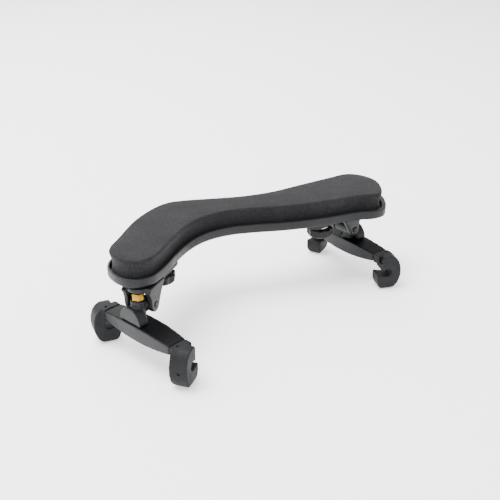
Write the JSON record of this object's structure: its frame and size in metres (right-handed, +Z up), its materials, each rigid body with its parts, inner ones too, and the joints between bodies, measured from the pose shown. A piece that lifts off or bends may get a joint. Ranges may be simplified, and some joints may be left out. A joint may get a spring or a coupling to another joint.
{
  "type": "violin shoulder rest",
  "caption": "Curved foam-padded plate on two folding, height-adjustable forked legs with rubber claws that grip a violin's edge.",
  "frame": {"origin": "under the middle of the whole rest, on the surface it stands on", "axes": "+X along the plate towards its wide end, +Y towards the bulging edge of the plate, +Z up towards the pad"},
  "size_m": [0.2244, 0.1116, 0.0678],
  "materials": {
    "plate": "satin black glass-filled nylon, moulded",
    "pad": "black fabric-faced foam",
    "bracket": "satin black moulded nylon",
    "knob": "satin black moulded nylon, lobed",
    "hinge_block": "satin black moulded nylon",
    "fork": "satin black moulded nylon",
    "claw": "soft black rubber, moulded",
    "brass": "turned brass",
    "steel": "plain turned steel"
  },
  "bodies": {
    "base": {"base_plate": "plate", "foam_pad": "pad"},
    "left_slider": {"left_bracket": "bracket", "left_clamp_washer": "steel", "left_slide_nut": "steel", "left_hinge_pin_a": "steel", "left_hinge_pin_b": "steel"},
    "left_clamp": {"left_clamp_knob": "knob", "left_clamp_screw": "steel"},
    "left_hinge": {"left_hinge_block": "hinge_block", "left_threaded_insert": "brass"},
    "left_lift": {"left_height_screw": "brass"},
    "left_foot": {"left_fork": "fork", "left_claw_a": "claw", "left_claw_b": "claw"},
    "right_slider": {"right_bracket": "bracket", "right_clamp_washer": "steel", "right_slide_nut": "steel", "right_hinge_pin_a": "steel", "right_hinge_pin_b": "steel"},
    "right_clamp": {"right_clamp_knob": "knob", "right_clamp_screw": "steel"},
    "right_hinge": {"right_hinge_block": "hinge_block", "right_threaded_insert": "brass"},
    "right_lift": {"right_height_screw": "brass"},
    "right_foot": {"right_fork": "fork", "right_claw_a": "claw", "right_claw_b": "claw"}
  },
  "joints": [
    {"name": "left_width_slide", "type": "slide", "parent": "base", "child": "left_slider", "axis": [0.891, 0.454, 0], "range_m": [-0.005, 0.005]},
    {"name": "left_clamp_turn", "type": "hinge", "parent": "left_slider", "child": "left_clamp", "pos_m": [-0.06923, 0.00922, 0.041], "axis": [0, 0, 1], "continuous": true},
    {"name": "left_leg_fold", "type": "hinge", "parent": "left_slider", "child": "left_hinge", "pos_m": [-0.09284, -0.00281, 0.0366], "axis": [0.454, -0.891, 0], "range_deg": [0, 75]},
    {"name": "left_height_slide", "type": "slide", "parent": "left_hinge", "child": "left_lift", "axis": [0, 0, 1], "range_m": [-0.0075, 0]},
    {"name": "left_fork_turn", "type": "hinge", "parent": "left_lift", "child": "left_foot", "pos_m": [-0.09685, -0.00485, 0.02], "axis": [0, 0, 1], "range_deg": [-2160, 0]},
    {"name": "right_width_slide", "type": "slide", "parent": "base", "child": "right_slider", "axis": [-1, 0, 0], "range_m": [-0.005, 0.005]},
    {"name": "right_clamp_turn", "type": "hinge", "parent": "right_slider", "child": "right_clamp", "pos_m": [0.05565, -0.00835, 0.041], "axis": [0, 0, 1], "continuous": true},
    {"name": "right_leg_fold", "type": "hinge", "parent": "right_slider", "child": "right_hinge", "pos_m": [0.08215, -0.00835, 0.0366], "axis": [0, 1, 0], "range_deg": [0, 75]},
    {"name": "right_height_slide", "type": "slide", "parent": "right_hinge", "child": "right_lift", "axis": [0, 0, 1], "range_m": [-0.0075, 0]},
    {"name": "right_fork_turn", "type": "hinge", "parent": "right_lift", "child": "right_foot", "pos_m": [0.08665, -0.00835, 0.02], "axis": [0, 0, 1], "range_deg": [-2160, 0]}
  ],
  "couplings": [
    {"joint": "left_height_slide", "follows": "left_fork_turn", "m_per_rad": 0.00019894},
    {"joint": "right_height_slide", "follows": "right_fork_turn", "m_per_rad": 0.00019894}
  ]
}
